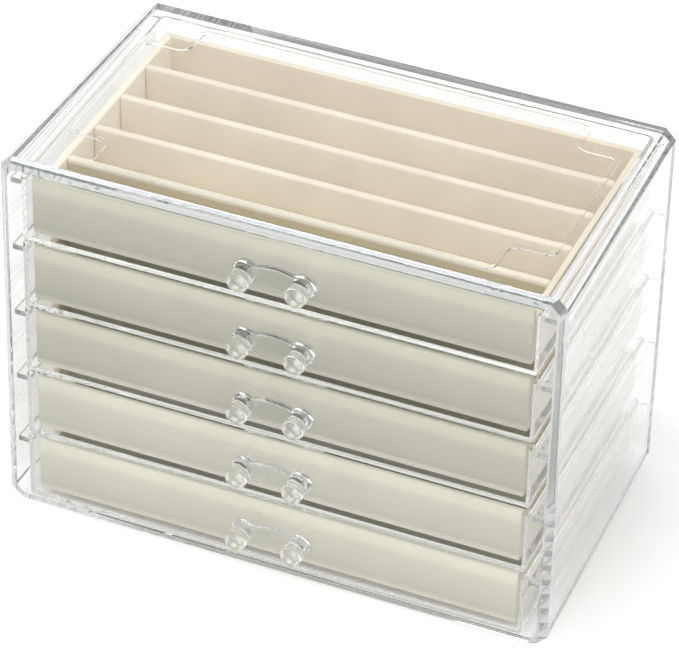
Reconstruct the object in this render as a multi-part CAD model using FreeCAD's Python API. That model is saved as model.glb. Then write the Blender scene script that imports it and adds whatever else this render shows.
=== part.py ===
import FreeCAD, Part
import math
import os

os.makedirs("parts", exist_ok=True)

# ---------------------------------------------------------------------------
# Five-drawer clear necklace organizer with fabric-covered drawer trays.
# Units mm. +Z up, the drawers open towards -Y, X runs across the front.
# Origin: centre of the overall footprint (pulls included), on the surface
# that the casing stands on.
# ---------------------------------------------------------------------------

# --- casing ---------------------------------------------------------------
W = 235.0            # width across the front
H = 168.6            # height at the front
D = 133.0            # depth of the casing, without the pulls
DRAFT_X = 2.5        # each side leans in by this much over the depth
DRAFT_TOP = 3.0      # the top falls by this much over the depth
CHAMFER = 4.5        # the four long edges
FRONT_BEVEL = 2.7    # bevel round the front rim, as depth and side width
FRONT_BEVEL_Z = 1.6  # the same bevel's width on the top and bottom edges
BACK_BEVEL = 1.2     # softening of the back edges
OPEN_HALF = 113.9    # half-width of the opening at the front
OPEN_BOTTOM = 3.9
OPEN_TOP = 164.4
OPEN_R_FRONT = 5.4   # inner corner radius at the front and at the back
OPEN_R_BACK = 2.4
BACK_WALL = 3.5

# --- raised stacking rim on the top ----------------------------------------
RING_HALF = 102.5    # half-width of the outline
RING_NOTCH_X = 84.6  # half-width between the corner notches
RING_FRONT = 9.5     # distances back from the front rim
RING_NOTCH_F = 27.4
RING_NOTCH_B = 103.2
RING_BACK = 119.5
RING_W = 1.9
RING_H = 0.6
RING_R = 4.2

# --- drawers ---------------------------------------------------------------
N_DRAWERS = 5
PITCH = 31.9
Z_FIRST = 132.7      # bottom of the top drawer
PLATE_H = 31.2       # front plate
PLATE_T = 2.0
BOX_HALF = 107.4
WALL = 1.3
FLOOR = 1.0
INNER_R = 0.5        # moulded inner fillet along the floor
BOX_DEPTH = 128.6
SIDE_H = 27.3        # side and back walls
FLANGE_HALF = 110.2  # lip along each side that rides on the runners
FLANGE_T = 1.4
FLANGE_FRONT = 4.0
FLANGE_BACK = 126.0

# --- runners ---------------------------------------------------------------
RAIL_INNER = 108.2
RAIL_T = 2.4
RAIL_FRONT = 3.0
RAIL_GAP = 0.1       # running gap under the drawer's lip

# --- fabric trays ----------------------------------------------------------
TRAY_HALF = 104.2
TRAY_SIDE = 3.3      # side walls
TRAY_FRONT = 3.2     # distances back from the front rim
TRAY_BACK = 126.3
TRAY_WALL = 2.5      # front and back walls
TRAY_FLOOR = 2.0
TRAY_TOP = 21.3      # above the drawer's bottom
TRAY_LIFT = 1.5      # the walls end this far above the drawer's floor
TRAY_FRONT_TOP = 28.0   # the front wall stands taller than the others
BASE_INSET = 8.0     # the base board under the tray, which stands on the drawer's floor
BASE_GAP = 0.1
DIV_T = 3.4
DIV_FIRST = 26.4     # front face of the first divider, back from the front rim
DIV_PITCH = 24.1
N_DIV = 4

# --- pulls -----------------------------------------------------------------
KNOB_X = 12.0
KNOB_R = 4.4
KNOB_LEN = 9.2
KNOB_Z = 13.1        # above the drawer's bottom
ROOT_R = 5.1         # each knob flares to this where it meets the base
BASE_R = 5.6         # thin base that bonds to the front plate
BASE_T = 0.35
WEB_T = 2.0
GLUE = 0.04          # glue line between pull and plate
WEB_LOW = 8.8
WEB_END = 14.5       # top of the arched web at the knobs' centres
WEB_MID = 18.2       # top of the arch at its centre
LIP = 0.45           # the base reaches this far above the web

FRONT = -(D - KNOB_LEN) / 2.0      # y of the front rim
BACK = FRONT + D


def V(x, y, z):
    return FreeCAD.Vector(x, y, z)


def poly_face(points):
    return Part.Face(Part.makePolygon(points + [points[0]]))


def poly_solid(sections):
    """Closed solid from rings of points with parallel edges."""
    faces = [poly_face(list(reversed(sections[0]))), poly_face(sections[-1])]
    n = len(sections[0])
    for a, b in zip(sections[:-1], sections[1:]):
        for i in range(n):
            j = (i + 1) % n
            faces.append(poly_face([a[i], a[j], b[j], b[i]]))
    shell = Part.makeShell(faces)
    shell.sewShape()
    solid = Part.makeSolid(shell)
    if solid.Volume < 0:
        solid.reverse()
    return solid


def octagon(half, z0, z1, c, y):
    return [V(-half + c, y, z0), V(half - c, y, z0), V(half, y, z0 + c),
            V(half, y, z1 - c), V(half - c, y, z1), V(-half + c, y, z1),
            V(-half, y, z1 - c), V(-half, y, z0 + c)]


def rounded_wire_xz(half, z0, z1, r, y):
    k = r * (1.0 - math.sqrt(0.5))
    e = []
    e.append(Part.makeLine(V(-half + r, y, z0), V(half - r, y, z0)))
    e.append(Part.Arc(V(half - r, y, z0), V(half - k, y, z0 + k), V(half, y, z0 + r)).toShape())
    e.append(Part.makeLine(V(half, y, z0 + r), V(half, y, z1 - r)))
    e.append(Part.Arc(V(half, y, z1 - r), V(half - k, y, z1 - k), V(half - r, y, z1)).toShape())
    e.append(Part.makeLine(V(half - r, y, z1), V(-half + r, y, z1)))
    e.append(Part.Arc(V(-half + r, y, z1), V(-half + k, y, z1 - k), V(-half, y, z1 - r)).toShape())
    e.append(Part.makeLine(V(-half, y, z1 - r), V(-half, y, z0 + r)))
    e.append(Part.Arc(V(-half, y, z0 + r), V(-half + k, y, z0 + k), V(-half + r, y, z0)).toShape())
    return Part.Wire(e)


def filleted_wire(points, radii, z):
    """Flat closed wire through points, each corner rounded by its radius."""
    n = len(points)
    ends = []
    for i in range(n):
        p0, p1, p2 = points[i - 1], points[i], points[(i + 1) % n]
        a = (p0[0] - p1[0], p0[1] - p1[1])
        b = (p2[0] - p1[0], p2[1] - p1[1])
        la, lb = math.hypot(*a), math.hypot(*b)
        a = (a[0] / la, a[1] / la)
        b = (b[0] / lb, b[1] / lb)
        ang = math.acos(max(-1.0, min(1.0, a[0] * b[0] + a[1] * b[1])))
        t = radii[i] / math.tan(ang / 2.0)
        s = (p1[0] + a[0] * t, p1[1] + a[1] * t)
        f = (p1[0] + b[0] * t, p1[1] + b[1] * t)
        bis = (a[0] + b[0], a[1] + b[1])
        lbis = math.hypot(*bis)
        dc = radii[i] / math.sin(ang / 2.0)
        c = (p1[0] + bis[0] / lbis * dc, p1[1] + bis[1] / lbis * dc)
        m = (c[0] - bis[0] / lbis * radii[i], c[1] - bis[1] / lbis * radii[i])
        ends.append((s, m, f))
    edges = []
    for i in range(n):
        s, m, f = ends[i]
        edges.append(Part.Arc(V(s[0], s[1], z), V(m[0], m[1], z), V(f[0], f[1], z)).toShape())
        g = ends[(i + 1) % n][0]
        edges.append(Part.makeLine(V(f[0], f[1], z), V(g[0], g[1], z)))
    return Part.Wire(edges)


def block(x0, x1, y0, y1, z0, z1):
    return Part.makeBox(x1 - x0, y1 - y0, z1 - z0, V(x0, y0, z0))


def top_z(y):
    """Height of the casing's top face at y."""
    return H - DRAFT_TOP * (y - FRONT - FRONT_BEVEL) / (D - FRONT_BEVEL)


def inner_half(y):
    """Half-width of the casing's cavity at y."""
    return OPEN_HALF - DRAFT_X * (y - FRONT) / D


# --- casing shell ----------------------------------------------------------
def make_shell():
    y1 = FRONT + FRONT_BEVEL
    y2 = BACK - BACK_BEVEL
    f = (y2 - y1) / (BACK - y1)
    soft = 0.586
    outer = poly_solid([
        octagon(W / 2 - FRONT_BEVEL, FRONT_BEVEL_Z, H - FRONT_BEVEL_Z,
                CHAMFER - 0.6 * FRONT_BEVEL_Z, FRONT),
        octagon(W / 2, 0.0, H, CHAMFER, y1),
        octagon(W / 2 - DRAFT_X * f, 0.0, H - DRAFT_TOP * f, CHAMFER, y2),
        octagon(W / 2 - DRAFT_X - BACK_BEVEL, BACK_BEVEL, H - DRAFT_TOP - BACK_BEVEL,
                CHAMFER - soft * BACK_BEVEL, BACK),
    ])
    yb = BACK - BACK_WALL
    g = (yb - FRONT) / D
    e = 0.0
    front_wire = rounded_wire_xz(OPEN_HALF + DRAFT_X * e, OPEN_BOTTOM, OPEN_TOP + DRAFT_TOP * e,
                                 OPEN_R_FRONT, FRONT - D * e)
    back_wire = rounded_wire_xz(OPEN_HALF - DRAFT_X * g, OPEN_BOTTOM, OPEN_TOP - DRAFT_TOP * g,
                                OPEN_R_BACK, yb)
    cavity = Part.makeLoft([front_wire, back_wire], True, True)
    shell = outer.cut(cavity)

    # raised stacking rim, a line with stepped corners
    def ring(off, z0, z1):
        hw, nx = RING_HALF - off, RING_NOTCH_X - off
        yf, nf = FRONT + RING_FRONT + off, FRONT + RING_NOTCH_F + off
        nb, ybk = FRONT + RING_NOTCH_B - off, FRONT + RING_BACK - off
        pts = [(-nx, yf), (nx, yf), (nx, nf), (hw, nf), (hw, nb), (nx, nb),
               (nx, ybk), (-nx, ybk), (-nx, nb), (-hw, nb), (-hw, nf), (-nx, nf)]
        out, inn = RING_R - off, RING_R + off
        radii = [out, out, inn, out, out, inn, out, out, inn, out, out, inn]
        return Part.Face(filleted_wire(pts, radii, z0)).extrude(V(0, 0, z1 - z0))

    prism = ring(0.0, H - 8, H + 4).cut(ring(RING_W, H - 9, H + 5))
    ya, yz = FRONT + 5.0, BACK - 5.0
    slab = poly_solid([
        [V(-120, ya, top_z(ya) - 0.4), V(-120, yz, top_z(yz) - 0.4),
         V(-120, yz, top_z(yz) + RING_H), V(-120, ya, top_z(ya) + RING_H)],
        [V(120, ya, top_z(ya) - 0.4), V(120, yz, top_z(yz) - 0.4),
         V(120, yz, top_z(yz) + RING_H), V(120, ya, top_z(ya) + RING_H)],
    ])
    rim = prism.common(slab)
    return shell.fuse(rim).removeSplitter()


# --- runners ---------------------------------------------------------------
def make_rails(side):
    y0 = FRONT + RAIL_FRONT
    y1 = BACK - BACK_WALL - 0.4
    solids = []
    for i in range(N_DRAWERS):
        zb = Z_FIRST - PITCH * i
        zt = zb + SIDE_H - FLANGE_T - RAIL_GAP
        z0 = zt - RAIL_T
        x_in = RAIL_INNER
        a = [V(side * x_in, y0, z0), V(side * inner_half(y0), y0, z0),
             V(side * inner_half(y0), y0, zt), V(side * x_in, y0, zt)]
        b = [V(side * x_in, y1, z0), V(side * inner_half(y1), y1, z0),
             V(side * inner_half(y1), y1, zt), V(side * x_in, y1, zt)]
        solids.append(poly_solid([a, b]))
    return Part.makeCompound(solids)


# --- drawer box ------------------------------------------------------------
def make_box(zb):
    y0, y1 = FRONT, FRONT + BOX_DEPTH
    body = block(-BOX_HALF, BOX_HALF, y0, y1, zb, zb + SIDE_H)
    back_edges = [e for e in body.Edges
                  if abs(e.Vertexes[0].Point.y - y1) < 1e-6 and abs(e.Vertexes[1].Point.y - y1) < 1e-6
                  and abs(e.Vertexes[0].Point.z - e.Vertexes[1].Point.z) > 1]
    body = body.makeFillet(3.0, back_edges)
    inside = block(-BOX_HALF + WALL, BOX_HALF - WALL, y0 + PLATE_T, y1 - WALL,
                   zb + FLOOR, zb + SIDE_H + 5)
    inner_edges = [e for e in inside.Edges
                   if abs(e.Vertexes[0].Point.z - e.Vertexes[1].Point.z) > 1
                   or max(abs(v.Point.z - zb - FLOOR) for v in e.Vertexes) < 1e-6]
    inside = inside.makeFillet(INNER_R, inner_edges)
    plate = block(-BOX_HALF, BOX_HALF, y0, y0 + PLATE_T, zb, zb + PLATE_H)
    body = body.fuse(plate).cut(inside)
    for side in (-1, 1):
        x0, x1 = sorted((side * (BOX_HALF - 0.4), side * FLANGE_HALF))
        lip = block(x0, x1, FRONT + FLANGE_FRONT, FRONT + FLANGE_BACK,
                    zb + SIDE_H - FLANGE_T, zb + SIDE_H)
        tips = [e for e in lip.Edges
                if abs(abs(e.Vertexes[0].Point.x) - FLANGE_HALF) < 1e-6
                and abs(abs(e.Vertexes[1].Point.x) - FLANGE_HALF) < 1e-6
                and abs(e.Vertexes[0].Point.z - e.Vertexes[1].Point.z) > 1]
        lip = lip.makeFillet(2.4, tips)
        body = body.fuse(lip)
    body = body.removeSplitter()
    # soft edges: the four corners of the front plate and the bottom edges
    picks = []
    for e in body.Edges:
        p, q = e.Vertexes[0].Point, e.Vertexes[-1].Point
        along_y = abs(p.x - q.x) < 1e-6 and abs(p.z - q.z) < 1e-6
        if along_y and abs(abs(p.x) - BOX_HALF) < 1e-6 and abs(p.z - zb) < 1e-6:
            picks.append(e)
        if along_y and abs(abs(p.x) - BOX_HALF) < 1e-6 and abs(p.z - zb - PLATE_H) < 1e-6:
            picks.append(e)
    try:
        soft = body.makeFillet(1.0, picks)
        if soft.isValid() and len(soft.Solids) == 1:
            body = soft
    except Exception:
        pass
    return body


# --- fabric tray -----------------------------------------------------------
def make_tray(zb):
    z0 = zb + FLOOR + TRAY_LIFT
    z1 = zb + TRAY_TOP
    y0, y1 = FRONT + TRAY_FRONT, FRONT + TRAY_BACK
    outer = block(-TRAY_HALF, TRAY_HALF, y0, y1, z0, z1)
    outer = outer.makeFillet(1.2, [e for e in outer.Edges
                                   if abs(e.Vertexes[0].Point.z - e.Vertexes[1].Point.z) > 1])
    front = block(-TRAY_HALF, TRAY_HALF, y0, y0 + TRAY_WALL, zb + 10.0, zb + TRAY_FRONT_TOP)
    front = front.makeFillet(1.2, [e for e in front.Edges
                                   if abs(e.Vertexes[0].Point.z - e.Vertexes[1].Point.z) > 1
                                   and abs(e.Vertexes[0].Point.y - y0) < 1e-6])
    outer = outer.fuse(front).removeSplitter()
    inner = block(-TRAY_HALF + TRAY_SIDE, TRAY_HALF - TRAY_SIDE,
                  y0 + TRAY_WALL, y1 - TRAY_WALL, z0 + TRAY_FLOOR, z1 + 15)
    base = block(-TRAY_HALF + BASE_INSET, TRAY_HALF - BASE_INSET,
                 y0 + BASE_INSET, y1 - BASE_INSET, zb + FLOOR + BASE_GAP, z0 + 0.5)
    return outer.cut(inner).fuse(base).removeSplitter()


def make_dividers(zb):
    z0 = zb + FLOOR + TRAY_LIFT + TRAY_FLOOR
    z1 = zb + TRAY_TOP
    half = TRAY_HALF - TRAY_SIDE
    solids = []
    for i in range(N_DIV):
        y = FRONT + DIV_FIRST + i * DIV_PITCH
        solids.append(block(-half, half, y, y + DIV_T, z0, z1))
    return Part.makeCompound(solids)


# --- pull ------------------------------------------------------------------
def arched_face(zb, y, half, z_low, z_end, z_mid):
    low = Part.makeLine(V(-half, y, zb + z_low), V(half, y, zb + z_low))
    right = Part.makeLine(V(half, y, zb + z_low), V(half, y, zb + z_end))
    arch = Part.Arc(V(half, y, zb + z_end), V(0, y, zb + z_mid), V(-half, y, zb + z_end)).toShape()
    left = Part.makeLine(V(-half, y, zb + z_end), V(-half, y, zb + z_low))
    return Part.Face(Part.Wire([low, right, arch, left]))


def make_handle(zb):
    zc = zb + KNOB_Z
    y0 = FRONT - KNOB_LEN
    yw = FRONT - WEB_T
    yb = FRONT - BASE_T
    pull = None
    for side in (-1, 1):
        x = side * KNOB_X
        knob = Part.makeCylinder(KNOB_R, KNOB_LEN - GLUE, V(x, y0, zc), V(0, 1, 0))
        rim = [e for e in knob.Edges
               if abs(e.BoundBox.YMin - y0) < 1e-4 and abs(e.BoundBox.YMax - y0) < 1e-4]
        knob = knob.makeFillet(0.5, rim)
        flare = Part.makeCone(KNOB_R, ROOT_R, yb - yw + 0.05, V(x, yw - 0.05, zc), V(0, 1, 0))
        base = Part.makeCylinder(BASE_R, BASE_T - GLUE, V(x, yb, zc), V(0, 1, 0))
        knob = knob.fuse(flare).fuse(base)
        pull = knob if pull is None else pull.fuse(knob)
    # arched web between the knobs, its ends buried in them, on the same thin base
    web = arched_face(zb, yw, KNOB_X, WEB_LOW, WEB_END, WEB_MID).extrude(V(0, WEB_T - GLUE, 0))
    edge = [e for e in web.Edges
            if abs(e.BoundBox.YMin - yw) < 1e-4 and abs(e.BoundBox.YMax - yw) < 1e-4
            and e.BoundBox.XLength > 10.0]
    web = web.makeFillet(0.4, edge)
    lip = arched_face(zb, yb, KNOB_X, WEB_LOW - LIP, WEB_END + LIP, WEB_MID + LIP).extrude(
        V(0, BASE_T - GLUE, 0))
    return pull.fuse(web).fuse(lip).removeSplitter()


shapes = {"case_shell": make_shell(),
          "case_runners_left": make_rails(-1),
          "case_runners_right": make_rails(1)}
for i in range(N_DRAWERS):
    n = i + 1
    z_bottom = Z_FIRST - PITCH * i
    shapes["drawer_%d_box" % n] = make_box(z_bottom)
    shapes["drawer_%d_handle" % n] = make_handle(z_bottom)
    shapes["drawer_%d_tray" % n] = make_tray(z_bottom)
    shapes["drawer_%d_dividers" % n] = make_dividers(z_bottom)

for node, shape in shapes.items():
    shape.exportStep("parts/%s.step" % node)
    print(node, "solids", len(shape.Solids), "valid", shape.isValid(),
          "volume %.1f" % shape.Volume, "box", [round(v, 2) for v in (
              shape.BoundBox.XMin, shape.BoundBox.XMax, shape.BoundBox.YMin,
              shape.BoundBox.YMax, shape.BoundBox.ZMin, shape.BoundBox.ZMax)])
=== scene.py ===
import math
import bpy
import bmesh
from mathutils import Matrix, Vector, noise


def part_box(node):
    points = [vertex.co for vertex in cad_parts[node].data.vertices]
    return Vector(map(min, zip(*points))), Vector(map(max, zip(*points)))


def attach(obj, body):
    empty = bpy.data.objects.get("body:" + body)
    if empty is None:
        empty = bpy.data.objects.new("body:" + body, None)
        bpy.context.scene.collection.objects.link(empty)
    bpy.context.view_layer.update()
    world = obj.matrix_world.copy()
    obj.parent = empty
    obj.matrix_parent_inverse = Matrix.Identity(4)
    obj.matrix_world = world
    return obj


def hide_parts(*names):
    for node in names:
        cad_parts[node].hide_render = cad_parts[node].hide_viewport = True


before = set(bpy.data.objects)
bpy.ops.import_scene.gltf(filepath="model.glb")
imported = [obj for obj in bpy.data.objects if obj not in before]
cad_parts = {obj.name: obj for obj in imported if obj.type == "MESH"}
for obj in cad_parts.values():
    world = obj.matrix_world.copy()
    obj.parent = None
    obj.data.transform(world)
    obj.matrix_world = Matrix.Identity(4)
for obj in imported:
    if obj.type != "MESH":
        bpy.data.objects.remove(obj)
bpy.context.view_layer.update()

scene = bpy.context.scene
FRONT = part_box("case_shell")[0].y     # y of the casing front rim, metres
Z_FIRST = 0.1327        # bottom of the top drawer
PITCH = 0.0319


# ---------------------------------------------------------------------------
# camera: the photograph's viewing angle
# ---------------------------------------------------------------------------
def make_camera():
    az, el, roll = math.radians(21.951), math.radians(36.562), math.radians(1.524)
    d = Vector((-math.sin(az) * math.cos(el), math.cos(az) * math.cos(el), -math.sin(el)))
    right = Vector((math.cos(az), math.sin(az), 0.0))
    up = right.cross(d)
    r2 = math.cos(roll) * right + math.sin(roll) * up
    u2 = -math.sin(roll) * right + math.cos(roll) * up
    target = Vector((0.02702, FRONT, 0.13155))
    loc = target - d * 1.5253
    cam = bpy.data.cameras.new("camera")
    cam.sensor_fit = "HORIZONTAL"
    cam.sensor_width = 36.0
    cam.lens = 3999.1 * 36.0 / 679.0
    cam.clip_start = 0.05
    cam.clip_end = 20.0
    ob = bpy.data.objects.new("camera", cam)
    m = Matrix.Identity(4)
    for i in range(3):
        m[i][0], m[i][1], m[i][2], m[i][3] = r2[i], u2[i], -d[i], loc[i]
    ob.matrix_world = m
    scene.collection.objects.link(ob)
    scene.camera = ob
    return ob


make_camera()

# ---------------------------------------------------------------------------
# light and floor
# ---------------------------------------------------------------------------
scene.view_settings.view_transform = "Standard"
scene.view_settings.look = "None"
scene.view_settings.exposure = 0.0
scene.view_settings.gamma = 1.0
scene.cycles.max_bounces = 256
scene.cycles.transmission_bounces = 256
scene.cycles.glossy_bounces = 256
scene.cycles.diffuse_bounces = 4
scene.cycles.transparent_max_bounces = 32
scene.cycles.caustics_reflective = False
scene.cycles.caustics_refractive = False
scene.cycles.sample_clamp_indirect = 6.0
scene.cycles.use_denoising = True


def make_world():
    """White overhead and behind, a little greyer on the side that the drawers open to."""
    w = bpy.data.worlds.new("studio")
    scene.world = w
    w.use_nodes = True
    nt = w.node_tree
    nt.nodes.clear()
    out = nt.nodes.new("ShaderNodeOutputWorld")
    bg = nt.nodes.new("ShaderNodeBackground")
    tc = nt.nodes.new("ShaderNodeTexCoord")
    sep = nt.nodes.new("ShaderNodeSeparateXYZ")
    nt.links.new(tc.outputs["Generated"], sep.inputs[0])

    def blend(socket, lo, hi):
        mr = nt.nodes.new("ShaderNodeMapRange")
        mr.interpolation_type = "SMOOTHSTEP"
        mr.inputs["From Min"].default_value = lo
        mr.inputs["From Max"].default_value = hi
        nt.links.new(socket, mr.inputs["Value"])
        return mr.outputs["Result"]

    def mix(fac, c0, c1):
        mx = nt.nodes.new("ShaderNodeMix")
        mx.data_type = "RGBA"
        nt.links.new(fac, mx.inputs["Factor"])
        for key, c in (("A", c0), ("B", c1)):
            if isinstance(c, tuple):
                mx.inputs[key].default_value = c
            else:
                nt.links.new(c, mx.inputs[key])
        return mx.outputs["Result"]

    sides = mix(blend(sep.outputs["Y"], -0.25, 0.25), (W_FRONT, W_FRONT, W_FRONT, 1),
                (W_BACK, W_BACK, W_BACK, 1))
    both = mix(blend(sep.outputs["Z"], 0.55, 0.85), sides, (W_TOP, W_TOP, W_TOP, 1))
    nt.links.new(both, bg.inputs["Color"])
    bg.inputs["Strength"].default_value = 1.0
    nt.links.new(bg.outputs[0], out.inputs[0])


def area(name, loc, target, size, power, color=(1, 1, 1), size_y=None):
    li = bpy.data.lights.new(name, "AREA")
    li.shape = "RECTANGLE" if size_y else "SQUARE"
    li.size = size
    if size_y:
        li.size_y = size_y
    li.energy = power
    li.color = color
    ob = bpy.data.objects.new(name, li)
    ob.location = loc
    ob.rotation_euler = (Vector(target) - Vector(loc)).to_track_quat("-Z", "Y").to_euler()
    scene.collection.objects.link(ob)
    return ob


W_TOP, W_BACK, W_FRONT = 1.0, 1.0, 0.9
make_world()
area("strip_overhead", (-0.37, -0.175, 1.25), (-0.37, -0.175, 0.0), 0.56, 3.0, (0.96, 0.98, 1.0), size_y=0.12)
area("key_front", (0.20, -0.75, 1.0), (0, 0, 0.05), 1.0, 8.8, (1.0, 0.99, 0.97), size_y=0.8)


def principled(name):
    m = bpy.data.materials.new(name)
    m.use_nodes = True
    nt = m.node_tree
    return m, nt, nt.nodes["Principled BSDF"], nt.nodes["Material Output"]


def floor_material():
    m, nt, p, out = principled("studio_floor")
    n = nt.nodes.new("ShaderNodeTexNoise")
    n.inputs["Scale"].default_value = 3.0
    ramp = nt.nodes.new("ShaderNodeValToRGB")
    ramp.color_ramp.elements[0].color = (0.86, 0.86, 0.86, 1)
    ramp.color_ramp.elements[1].color = (0.88, 0.88, 0.88, 1)
    nt.links.new(n.outputs["Fac"], ramp.inputs["Fac"])
    nt.links.new(ramp.outputs["Color"], p.inputs["Base Color"])
    p.inputs["Roughness"].default_value = 0.85
    p.inputs["Specular IOR Level"].default_value = 0.1
    return m


def make_floor():
    me = bpy.data.meshes.new("floor")
    s = 6.0
    me.from_pydata([(-s, -s, 0), (s, -s, 0), (s, s, 0), (-s, s, 0)], [], [(0, 1, 2, 3)])
    ob = bpy.data.objects.new("floor", me)
    ob.location.z = -0.0002
    scene.collection.objects.link(ob)
    me.materials.append(floor_material())


make_floor()


def make_flag(name, corners, shade):
    """A card on the floor in front, which the plastic's faces and edges pick up."""
    m, nt, p, out = principled(name + "_card")
    n = nt.nodes.new("ShaderNodeTexNoise")
    n.inputs["Scale"].default_value = 4.0
    ramp = nt.nodes.new("ShaderNodeValToRGB")
    ramp.color_ramp.elements[0].color = (shade, shade, shade, 1)
    ramp.color_ramp.elements[1].color = (shade * 1.3, shade * 1.3, shade * 1.3, 1)
    nt.links.new(n.outputs["Fac"], ramp.inputs["Fac"])
    nt.links.new(ramp.outputs["Color"], p.inputs["Base Color"])
    p.inputs["Roughness"].default_value = 0.9
    me = bpy.data.meshes.new(name)
    me.from_pydata(corners, [], [(0, 1, 2, 3)])
    me.materials.append(m)
    ob = bpy.data.objects.new(name, me)
    scene.collection.objects.link(ob)
    ob.visible_camera = False
    ob.visible_shadow = False
    ob.visible_diffuse = False
    return ob


make_flag("flag_front", [(-1.6, FRONT - 1.6, 0.002), (1.6, FRONT - 1.6, 0.002),
                         (1.6, FRONT - 0.085, 0.002), (-1.6, FRONT - 0.085, 0.002)], 0.05)
make_flag("flag_near", [(-0.4, FRONT - 0.085, 0.001), (0.4, FRONT - 0.085, 0.001),
                        (0.4, FRONT - 0.003, 0.001), (-0.4, FRONT - 0.003, 0.001)], 0.36)


# ---------------------------------------------------------------------------
# materials
# ---------------------------------------------------------------------------
def clear_plastic(name, ior, rough, bump_scale, bump_strength, depth_color, depth):
    """Polished moulded plastic: clear, with faint flow waviness and a few dull rub marks."""
    m, nt, p, out = principled(name)
    p.inputs["Base Color"].default_value = (1.0, 1.0, 1.0, 1)
    p.inputs["Transmission Weight"].default_value = 1.0
    p.inputs["IOR"].default_value = ior
    tc = nt.nodes.new("ShaderNodeTexCoord")
    wave = nt.nodes.new("ShaderNodeTexNoise")
    wave.inputs["Scale"].default_value = bump_scale
    wave.inputs["Detail"].default_value = 1.5
    nt.links.new(tc.outputs["Object"], wave.inputs["Vector"])
    bump = nt.nodes.new("ShaderNodeBump")
    bump.inputs["Strength"].default_value = bump_strength
    bump.inputs["Distance"].default_value = 0.0006
    nt.links.new(wave.outputs["Fac"], bump.inputs["Height"])
    nt.links.new(bump.outputs["Normal"], p.inputs["Normal"])
    fine = nt.nodes.new("ShaderNodeTexNoise")
    fine.inputs["Scale"].default_value = 900.0
    fine.inputs["Detail"].default_value = 2.0
    nt.links.new(tc.outputs["Object"], fine.inputs["Vector"])
    mr = nt.nodes.new("ShaderNodeMapRange")
    mr.inputs["From Min"].default_value = 0.45
    mr.inputs["From Max"].default_value = 0.75
    mr.inputs["To Min"].default_value = rough
    mr.inputs["To Max"].default_value = rough + 0.03
    nt.links.new(fine.outputs["Fac"], mr.inputs["Value"])
    nt.links.new(mr.outputs["Result"], p.inputs["Roughness"])
    # lamps pass through, as they do through clear sheet
    lp = nt.nodes.new("ShaderNodeLightPath")
    tr = nt.nodes.new("ShaderNodeBsdfTransparent")
    tr.inputs["Color"].default_value = (0.94, 0.94, 0.94, 1)
    soft = nt.nodes.new("ShaderNodeMixShader")
    nt.links.new(lp.outputs["Is Diffuse Ray"], soft.inputs["Fac"])
    nt.links.new(p.outputs[0], soft.inputs[1])
    nt.links.new(tr.outputs[0], soft.inputs[2])
    mix = nt.nodes.new("ShaderNodeMixShader")
    nt.links.new(lp.outputs["Is Shadow Ray"], mix.inputs["Fac"])
    nt.links.new(soft.outputs[0], mix.inputs[1])
    nt.links.new(tr.outputs[0], mix.inputs[2])
    nt.links.new(mix.outputs[0], out.inputs["Surface"])
    # thick sections and edges seen end-on turn a cool grey
    vol = nt.nodes.new("ShaderNodeVolumeAbsorption")
    vol.inputs["Color"].default_value = (*depth_color, 1)
    vol.inputs["Density"].default_value = depth
    nt.links.new(vol.outputs[0], out.inputs["Volume"])
    return m


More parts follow.
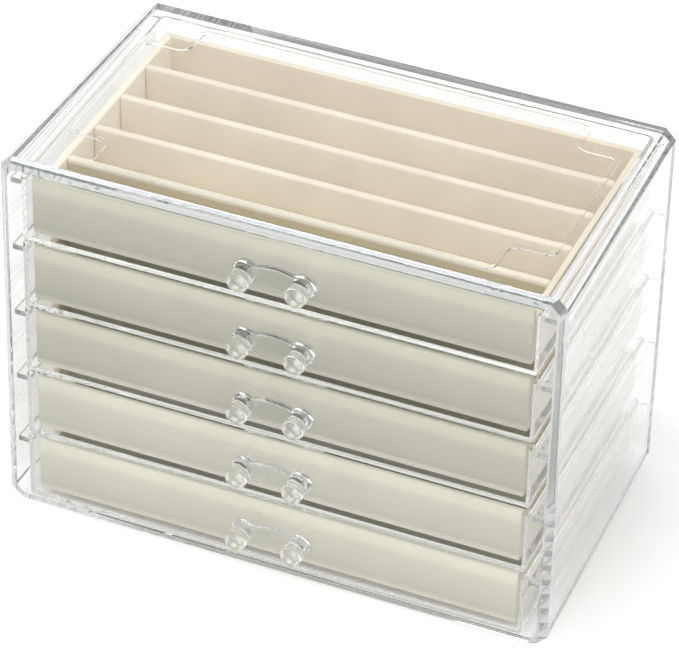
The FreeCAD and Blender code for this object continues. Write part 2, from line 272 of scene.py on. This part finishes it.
def velvet(name, base, deep, front=False):
    """Short-pile velvet glued over board: fine pile, faint crushed patches, soft sheen."""
    m, nt, p, out = principled(name)
    tc = nt.nodes.new("ShaderNodeTexCoord")
    crush = nt.nodes.new("ShaderNodeTexNoise")
    crush.inputs["Scale"].default_value = 28.0
    crush.inputs["Detail"].default_value = 3.0
    crush.inputs["Distortion"].default_value = 0.6
    nt.links.new(tc.outputs["Object"], crush.inputs["Vector"])
    ramp = nt.nodes.new("ShaderNodeValToRGB")
    ramp.color_ramp.elements[0].position = 0.35
    ramp.color_ramp.elements[0].color = (*deep, 1)
    ramp.color_ramp.elements[1].position = 0.65
    ramp.color_ramp.elements[1].color = (*base, 1)
    nt.links.new(crush.outputs["Fac"], ramp.inputs["Fac"])
    pile = nt.nodes.new("ShaderNodeTexNoise")
    pile.inputs["Scale"].default_value = 2600.0
    pile.inputs["Detail"].default_value = 2.0
    nt.links.new(tc.outputs["Object"], pile.inputs["Vector"])
    tone = ramp.outputs["Color"]
    if front:
        # painted light and shade on the drawers' fronts, by height within each drawer:
        # a faint painted highlight line near the bottom, a painted shadow dip above it, lighter upwards, a
        # lighter painted band near the top and painted shade on the top edge
        sep = nt.nodes.new("ShaderNodeSeparateXYZ")
        nt.links.new(tc.outputs["Object"], sep.inputs[0])
        step = nt.nodes.new("ShaderNodeMath")
        step.operation = "MULTIPLY_ADD"
        step.inputs[1].default_value = 1.0 / PITCH
        step.inputs[2].default_value = 8.0 - Z_FIRST / PITCH
        nt.links.new(sep.outputs["Z"], step.inputs[0])
        frac = nt.nodes.new("ShaderNodeMath")
        frac.operation = "FRACT"
        nt.links.new(step.outputs[0], frac.inputs[0])
        painted_light_shade_ramp = nt.nodes.new("ShaderNodeValToRGB")
        r = painted_light_shade_ramp.color_ramp
        r.elements[0].position = 0.078
        r.elements[0].color = (0.82, 0.825, 0.82, 1)
        r.elements[1].position = 0.866
        r.elements[1].color = (0.86, 0.86, 0.86, 1)
        for pos, c in ((0.13, 0.84), (0.185, 0.69), (0.28, 0.74), (0.64, 0.83), (0.72, 0.97), (0.85, 1.0)):
            e = r.elements.new(pos)
            e.color = (c, c, c, 1)
        nt.links.new(frac.outputs[0], painted_light_shade_ramp.inputs["Fac"])
        mixn = nt.nodes.new("ShaderNodeMix")
        mixn.data_type = "RGBA"
        mixn.blend_type = "MULTIPLY"
        mixn.inputs["Factor"].default_value = 1.0
        nt.links.new(tone, mixn.inputs["A"])
        nt.links.new(painted_light_shade_ramp.outputs["Color"], mixn.inputs["B"])
        # painted light: the fronts are painted lighter the further down the drawer sits
        low = nt.nodes.new("ShaderNodeMapRange")
        low.inputs["From Min"].default_value = Z_FIRST - 1.0 * PITCH
        low.inputs["From Max"].default_value = Z_FIRST - 4.0 * PITCH
        low.inputs["To Min"].default_value = 1.0
        low.inputs["To Max"].default_value = 1.22
        nt.links.new(sep.outputs["Z"], low.inputs["Value"])
        painted_lift = nt.nodes.new("ShaderNodeMix")
        painted_lift.data_type = "RGBA"
        painted_lift.blend_type = "MULTIPLY"
        painted_lift.inputs["Factor"].default_value = 1.0
        nt.links.new(mixn.outputs["Result"], painted_lift.inputs["A"])
        nt.links.new(low.outputs["Result"], painted_lift.inputs["B"])
        tone = painted_lift.outputs["Result"]
    nt.links.new(tone, p.inputs["Base Color"])
    bump = nt.nodes.new("ShaderNodeBump")
    bump.inputs["Strength"].default_value = 0.35
    bump.inputs["Distance"].default_value = 0.0003
    nt.links.new(pile.outputs["Fac"], bump.inputs["Height"])
    nt.links.new(bump.outputs["Normal"], p.inputs["Normal"])
    p.inputs["Roughness"].default_value = 0.95
    p.inputs["Specular IOR Level"].default_value = 0.15
    p.inputs["Sheen Weight"].default_value = 0.35
    p.inputs["Sheen Roughness"].default_value = 0.45
    p.inputs["Sheen Tint"].default_value = (1.0, 0.97, 0.9, 1)
    return m


CASE = clear_plastic("casing_clear_plastic", 1.5, 0.0, 9.0, 0.006, (0.36, 0.41, 0.40), 3.4)
DRAWER = clear_plastic("drawer_clear_plastic", 1.5, 0.0, 11.0, 0.015, (0.45, 0.50, 0.47), 2.0)
RUNNER = clear_plastic("runner_clear_plastic", 1.5, 0.0, 11.0, 0.015, (0.40, 0.44, 0.43), 9.0)
PULL = clear_plastic("pull_clear_plastic", 1.5, 0.0, 60.0, 0.02, (0.45, 0.50, 0.47), 3.5)
VELVET = velvet("beige_velvet", (0.72, 0.655, 0.52), (0.66, 0.60, 0.47))
# painted shade: the tray's front faces take a darker, greyer copy of the velvet, with the painted light and
# shade by height on top
VELVET_FRONT_PAINTED = velvet("beige_velvet_front_painted_shade", (0.565, 0.56, 0.475), (0.54, 0.535, 0.455), True)
# painted shade: a dark brown copy of the velvet for the top drawer's first board face and the back of its
# front wall
VELVET_PAINTED_SHADE = velvet("beige_velvet_painted_shade", (0.47, 0.395, 0.215), (0.43, 0.36, 0.19))
# painted shade: a darker, greyer copy of the velvet for the same faces in the lower drawers
VELVET_GREY_PAINTED_SHADE = velvet("grey_velvet_painted_shade", (0.60, 0.60, 0.50), (0.56, 0.56, 0.46))
# painted shade: the tray's inner back wall takes a darker copy of the velvet
VELVET_BACK_PAINTED_SHADE = velvet("beige_velvet_back_painted_shade", (0.64, 0.565, 0.445), (0.60, 0.53, 0.415))
# painted shade: the tray's outer side faces take a darker copy of the velvet
VELVET_SIDE_PAINTED_SHADE = velvet("beige_velvet_side_painted_shade", (0.50, 0.475, 0.40), (0.47, 0.445, 0.375))
# painted light: the left side wall's inner face and top take a lighter copy of the velvet
VELVET_PAINTED_LIGHT = velvet("beige_velvet_painted_light", (0.83, 0.76, 0.62), (0.80, 0.73, 0.59))


def only(ob, mat):
    ob.data.materials.clear()
    ob.data.materials.append(mat)
    for poly in ob.data.polygons:
        poly.material_index = 0


for name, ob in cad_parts.items():
    if name.startswith("case_"):
        only(ob, CASE)
    elif name.endswith("_box"):
        only(ob, DRAWER)
    elif name.endswith("_handle"):
        only(ob, PULL)
    else:
        only(ob, VELVET)


# ---------------------------------------------------------------------------
# velvet trays and boards
# ---------------------------------------------------------------------------
def box_bm(bm, x0, x1, y0, y1, z0, z1):
    vs = [bm.verts.new(v) for v in ((x0, y0, z0), (x1, y0, z0), (x1, y1, z0), (x0, y1, z0),
                                    (x0, y0, z1), (x1, y0, z1), (x1, y1, z1), (x0, y1, z1))]
    for f in ((0, 3, 2, 1), (4, 5, 6, 7), (0, 1, 5, 4), (1, 2, 6, 5), (2, 3, 7, 6), (3, 0, 4, 7)):
        bm.faces.new([vs[i] for i in f])


def finish_piece(bm, name, mat, body, replaces, bevel):
    bmesh.ops.recalc_face_normals(bm, faces=bm.faces)
    me = bpy.data.meshes.new(name)
    bm.to_mesh(me)
    bm.free()
    ob = bpy.data.objects.new(name, me)
    scene.collection.objects.link(ob)
    for m in mat:
        me.materials.append(m)
    if bevel:
        b = ob.modifiers.new("bevel", "BEVEL")
        b.width = bevel
        b.segments = 4
        b.limit_method = "ANGLE"
        b.angle_limit = math.radians(40)
    for poly in me.polygons:
        poly.use_smooth = True
    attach(ob, body)
    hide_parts(*replaces)
    return ob


TRAY_BOTTOM = 0.0025    # all above the drawer's bottom
TRAY_TOP = 0.0213
TRAY_T = 0.0025         # front and back walls
TRAY_SIDE = 0.0033
TRAY_FLOOR = 0.0020
BASE_INSET = 0.0080
BASE_BOTTOM = 0.0011
BOARD_T = 0.0034
BOARD_FIRST = 0.0264
BOARD_PITCH = 0.0241


def tray_piece(n):
    lo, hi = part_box("drawer_%d_tray" % n)
    zn = Z_FIRST - PITCH * (n - 1)
    zt = zn + TRAY_TOP
    bm = bmesh.new()

    def ring(x0, x1, y0, y1, z):
        return [bm.verts.new(v) for v in ((x0, y0, z), (x1, y0, z), (x1, y1, z), (x0, y1, z))]

    x0, y0 = lo.x, lo.y
    x1, y1, z1 = hi
    z0 = zn + TRAY_BOTTOM
    yf, yb = y0 + TRAY_T, y1 - TRAY_T
    xa, xb = x0 + TRAY_SIDE, x1 - TRAY_SIDE
    o = ring(x0, x1, y0, y1, z0)
    om = ring(x0, x1, y0, y1, zt)
    ib = ring(xa, xb, yf, yb, z0 + TRAY_FLOOR)
    it = ring(xa, xb, yf, yb, zt)
    # the front wall goes on up: its back corners over the side walls, then its top
    f0 = [bm.verts.new((x, yf, zt)) for x in (x0, x1)]
    ft = ring(x0, x1, y0, yf, z1)
    face = bm.faces.new
    # material slots: 1 the front faces, 2 the back of the front wall, 3 the inner back wall, 4 the outer
    # sides, 5 the left wall's inner face and top; slots 1 to 5 are copies of the one velvet carrying painted
    # light or painted shade
    face(list(reversed(o)))
    face(ib)
    face((o[0], o[1], om[1], om[0])).material_index = 1
    face((om[0], om[1], ft[1], ft[0])).material_index = 1
    face((o[1], o[2], om[2], f0[1], om[1])).material_index = 4
    face((o[2], o[3], om[3], om[2]))
    face((o[3], o[0], om[0], f0[0], om[3])).material_index = 4
    face((om[1], f0[1], ft[2], ft[1])).material_index = 4
    face((f0[0], om[0], ft[0], ft[3])).material_index = 4
    face((ft[0], ft[1], ft[2], ft[3])).material_index = 1
    face((f0[1], it[1], it[0], f0[0], ft[3], ft[2])).material_index = 2
    face((f0[1], om[2], it[2], it[1]))
    face((om[2], om[3], it[3], it[2]))
    face((om[3], f0[0], it[0], it[3])).material_index = 5
    for i in range(4):
        j = (i + 1) % 4
        face((it[i], it[j], ib[j], ib[i])).material_index = (2, 0, 3, 5)[i]
    # base board under the tray
    k = BASE_INSET
    box_bm(bm, x0 + k, x1 - k, y0 + k, y1 - k, zn + BASE_BOTTOM, z0 - 0.00002)
    return finish_piece(bm, "drawer_%d_velvet_tray" % n,
                        (VELVET, VELVET_FRONT_PAINTED, VELVET_PAINTED_SHADE if n == 1 else VELVET_GREY_PAINTED_SHADE, VELVET_BACK_PAINTED_SHADE,
                         VELVET_SIDE_PAINTED_SHADE, VELVET_PAINTED_LIGHT),
                        "drawer_%d" % n,
                        ["drawer_%d_tray" % n], 0.0009)


def divider_piece(n):
    lo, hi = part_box("drawer_%d_tray" % n)
    zn = Z_FIRST - PITCH * (n - 1)
    bm = bmesh.new()
    for i in range(4):
        y = FRONT + BOARD_FIRST + i * BOARD_PITCH
        box_bm(bm, lo.x + TRAY_SIDE, hi.x - TRAY_SIDE, y, y + BOARD_T,
               zn + TRAY_BOTTOM + TRAY_FLOOR, zn + TRAY_TOP)
    # painted shade: the first board's face below its top 2 mm takes a darker copy of the velvet, standing in
    # for the shade of the taller front wall
    bmesh.ops.bisect_plane(bm, geom=bm.verts[:] + bm.edges[:] + bm.faces[:],
                           plane_co=(0, 0, zn + TRAY_TOP - 0.0020), plane_no=(0, 0, 1))
    for f in bm.faces:
        c = f.calc_center_median()
        if abs(c.y - FRONT - BOARD_FIRST) < 0.0002 and c.z < zn + TRAY_TOP - 0.0021:
            f.material_index = 1
    return finish_piece(bm, "drawer_%d_velvet_boards" % n,
                        (VELVET, VELVET_PAINTED_SHADE if n == 1 else VELVET_GREY_PAINTED_SHADE), "drawer_%d" % n,
                        ["drawer_%d_dividers" % n], 0.0011)


def pull_piece(n):
    """The pull, its back welded into the skin of the drawer's front plate."""
    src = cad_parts["drawer_%d_handle" % n]
    me = src.data.copy()
    me.name = "drawer_%d_pull" % n
    for v in me.vertices:
        if v.co.y > FRONT - 0.0003:
            v.co.y = FRONT + 0.00012
    ob = bpy.data.objects.new("drawer_%d_pull" % n, me)
    scene.collection.objects.link(ob)
    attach(ob, "drawer_%d" % n)
    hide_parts("drawer_%d_handle" % n)
    return ob


def runner_piece(side):
    """The runner strips of one side, a hairline away from the wall, as along a glue line."""
    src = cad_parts["case_runners_%s" % side]
    name = "casing_runners_%s" % side
    me = src.data.copy()
    me.name = name
    for v in me.vertices:
        if abs(v.co.x) > 0.1105:
            v.co.x -= math.copysign(0.00015, v.co.x)
    ob = bpy.data.objects.new(name, me)
    scene.collection.objects.link(ob)
    only(ob, RUNNER)
    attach(ob, "case")
    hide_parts("case_runners_%s" % side)
    return ob


def casing_piece():
    """The casing, with a fine second facet along the foot of its top front bevel."""
    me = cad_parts["case_shell"].data.copy()
    me.name = "casing_moulding"
    bm = bmesh.new()
    bm.from_mesh(me)
    faces = [f for f in bm.faces if f.normal.z > 0.75 and f.normal.y < -0.35
             and f.calc_center_median().y < FRONT + 0.0030]
    geom = set(faces)
    for f in faces:
        geom.update(f.edges)
        geom.update(f.verts)
    cut_y = FRONT + 0.00090
    bmesh.ops.bisect_plane(bm, geom=list(geom), plane_co=(0, cut_y, 0), plane_no=(0, 1, 0), dist=1e-7)
    for v in bm.verts:
        if abs(v.co.y - cut_y) < 2e-6 and v.co.z > 0.166 and abs(v.co.x) < 0.1129:
            v.co.z += 0.00007
    bm.to_mesh(me)
    bm.free()
    keep = [tuple(n.vector) for n in me.corner_normals]
    for poly in me.polygons:
        if poly.normal.z > 0.5 and poly.normal.y < -0.3 and poly.center.y < FRONT + 0.0030:
            for li in poly.loop_indices:
                keep[li] = tuple(poly.normal)
    me.normals_split_custom_set(keep)
    ob = bpy.data.objects.new("casing_moulding", me)
    scene.collection.objects.link(ob)
    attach(ob, "case")
    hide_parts("case_shell")
    return ob


casing_piece()
for side in ("left", "right"):
    runner_piece(side)
for n in range(1, 6):
    tray_piece(n)
    divider_piece(n)
    pull_piece(n)
